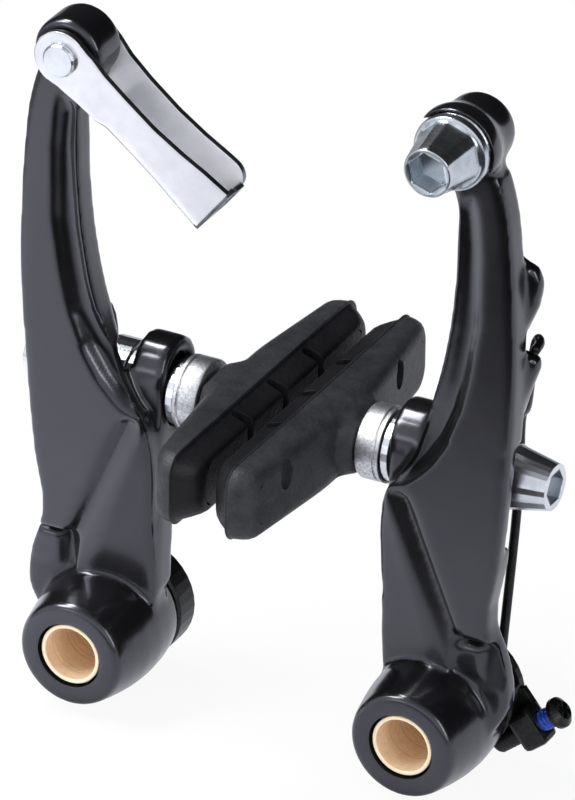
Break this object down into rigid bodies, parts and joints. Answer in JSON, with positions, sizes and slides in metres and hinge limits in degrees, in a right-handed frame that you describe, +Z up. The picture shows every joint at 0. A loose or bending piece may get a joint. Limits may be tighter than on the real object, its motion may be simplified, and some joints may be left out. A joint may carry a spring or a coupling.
{
  "type": "v-brake",
  "caption": "Linear-pull bicycle brake: black forged arms on bronze bushings, rubber pads on clamped studs, a folded cable guide and a hex anchor bolt.",
  "frame": {"origin": "half way between the two arm pivots, on the plane where the spring carriers sit against the bicycle frame", "axes": "+X to the right seen from the front, +Y back towards the bicycle frame along the pivots, +Z up along the arms"},
  "size_m": [0.0928, 0.0616, 0.118],
  "materials": {
    "black_paint": "forged aluminium under satin black paint",
    "bronze": "bright turned bronze",
    "black_steel": "blackened steel",
    "rubber": "moulded black brake rubber, matt",
    "zinc": "bright zinc plated steel",
    "sanded_zinc": "zinc plated steel with a grained side",
    "spring_steel": "black spring wire"
  },
  "bodies": {
    "frame_side": {"left_bushing": "bronze", "left_spring_carrier": "black_steel", "right_bushing": "bronze", "right_spring_carrier": "black_steel"},
    "left_arm": {"left_arm": "black_paint", "left_return_spring": "spring_steel", "guide_rivet": "zinc"},
    "left_pad_height": {"left_inner_dome_washer": "zinc", "left_outer_dome_washer": "zinc"},
    "left_pad_clamp": {"left_thick_cup_washer": "sanded_zinc", "left_thin_cup_washer": "zinc", "left_pad_nut": "zinc"},
    "left_pad": {"left_brake_pad": "rubber", "left_pad_stud": "zinc"},
    "left_adjuster": {"left_adjusting_screw": "black_steel"},
    "right_arm": {"right_arm": "black_paint", "right_return_spring": "spring_steel", "anchor_washer": "zinc", "anchor_bolt": "zinc"},
    "right_pad_height": {"right_inner_dome_washer": "zinc", "right_outer_dome_washer": "zinc"},
    "right_pad_clamp": {"right_thick_cup_washer": "sanded_zinc", "right_thin_cup_washer": "zinc", "right_pad_nut": "zinc"},
    "right_pad": {"right_brake_pad": "rubber", "right_pad_stud": "zinc"},
    "right_adjuster": {"right_adjusting_screw": "black_steel"},
    "guide": {"cable_guide": "zinc"}
  },
  "joints": [
    {"name": "left_arm_pivot", "type": "hinge", "parent": "frame_side", "child": "left_arm", "pos_m": [-0.0288, -0.0118, 0], "axis": [0, -1, 0], "range_deg": [0, 25], "stiffness_Nm_per_rad": 0.4, "deforming": ["left_return_spring"]},
    {"name": "left_pad_slide", "type": "slide", "parent": "left_arm", "child": "left_pad_height", "axis": [0, 0, 1], "range_m": [-0.0027, 0.0027]},
    {"name": "left_pad_toe_in", "type": "hinge", "parent": "left_pad_height", "child": "left_pad_clamp", "pos_m": [-0.0223, -0.0054, 0.0408], "axis": [0, 0, 1], "range_deg": [-1.5, 1.5]},
    {"name": "left_pad_tilt", "type": "hinge", "parent": "left_pad_clamp", "child": "left_pad", "pos_m": [-0.0223, -0.0054, 0.0408], "axis": [1, 0, 0], "continuous": true},
    {"name": "left_screw_turn", "type": "hinge", "parent": "frame_side", "child": "left_adjuster", "pos_m": [-0.0407, -0.00245, -0.0037], "axis": [-0.7771, 0, 0.6293], "continuous": true},
    {"name": "right_arm_pivot", "type": "hinge", "parent": "frame_side", "child": "right_arm", "pos_m": [0.0288, -0.0118, 0], "axis": [0, 1, 0], "range_deg": [0, 25], "stiffness_Nm_per_rad": 0.4, "deforming": ["right_return_spring"]},
    {"name": "right_pad_slide", "type": "slide", "parent": "right_arm", "child": "right_pad_height", "axis": [0, 0, 1], "range_m": [-0.0027, 0.0027]},
    {"name": "right_pad_toe_in", "type": "hinge", "parent": "right_pad_height", "child": "right_pad_clamp", "pos_m": [0.0223, -0.0054, 0.0408], "axis": [0, 0, 1], "range_deg": [-1.5, 1.5]},
    {"name": "right_pad_tilt", "type": "hinge", "parent": "right_pad_clamp", "child": "right_pad", "pos_m": [0.0223, -0.0054, 0.0408], "axis": [1, 0, 0], "continuous": true},
    {"name": "right_screw_turn", "type": "hinge", "parent": "frame_side", "child": "right_adjuster", "pos_m": [0.0407, -0.00245, -0.0037], "axis": [0.7771, 0, 0.6293], "continuous": true},
    {"name": "guide_swing", "type": "hinge", "parent": "left_arm", "child": "guide", "pos_m": [-0.0326, -0.0143, 0.1004], "axis": [0, -1, 0], "range_deg": [-15, 60]}
  ]
}
